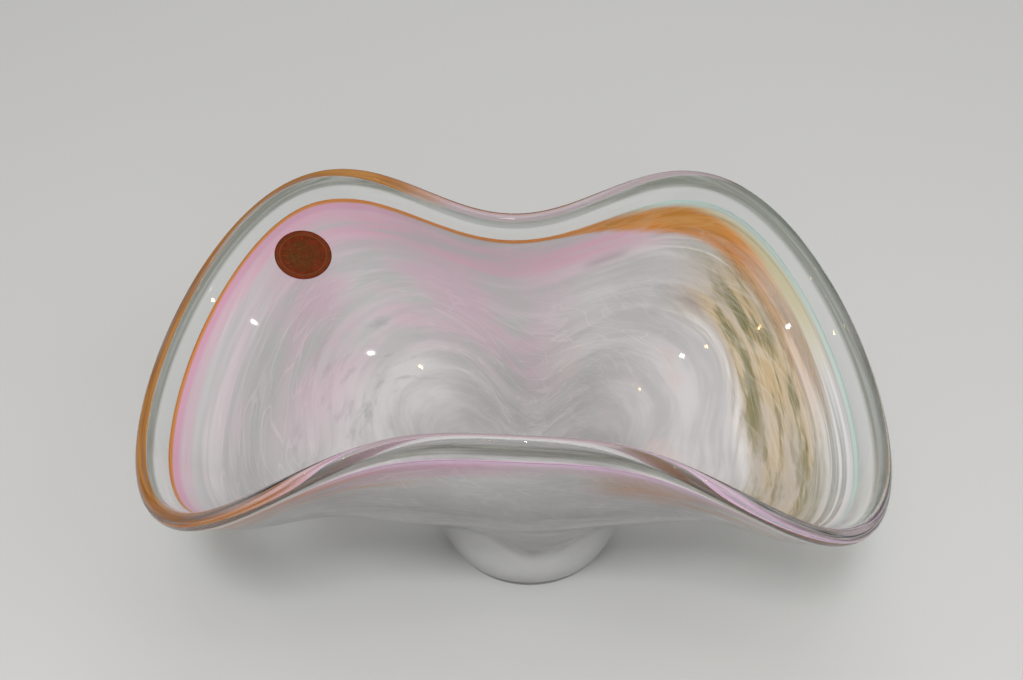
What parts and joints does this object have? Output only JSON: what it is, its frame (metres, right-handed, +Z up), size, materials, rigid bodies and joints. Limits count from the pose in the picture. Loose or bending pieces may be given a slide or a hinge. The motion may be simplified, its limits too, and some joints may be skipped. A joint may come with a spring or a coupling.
{
  "type": "art glass bowl",
  "caption": "Free-blown glass bowl with a wavy waisted lip, clear rim over a swirled opal and amber inner layer, on a small round foot.",
  "frame": {"origin": "centre of the ground flat under the foot", "axes": "+Z up out of the foot, +X along the long way of the bowl to the right-hand low end, +Y towards the back wall that carries the foil label"},
  "size_m": [0.3308, 0.2079, 0.1421],
  "materials": {
    "crystal": "polished, clear",
    "opal": "polished, opaque white with grey and mauve swirls",
    "pink": "polished, milky pink",
    "amber": "polished, amber streaks",
    "orange": "polished, opaque orange thread",
    "foot_glass": "polished, misty clear",
    "foil": "copper-red metallised foil"
  },
  "bodies": {
    "root": {"clear_casing": "crystal", "rolled_rim": "crystal", "opal_liner": "opal", "pink_band": "pink", "amber_band": "amber", "edge_thread": "orange", "foot_pad": "foot_glass", "foil_label": "foil"}
  },
  "joints": []
}
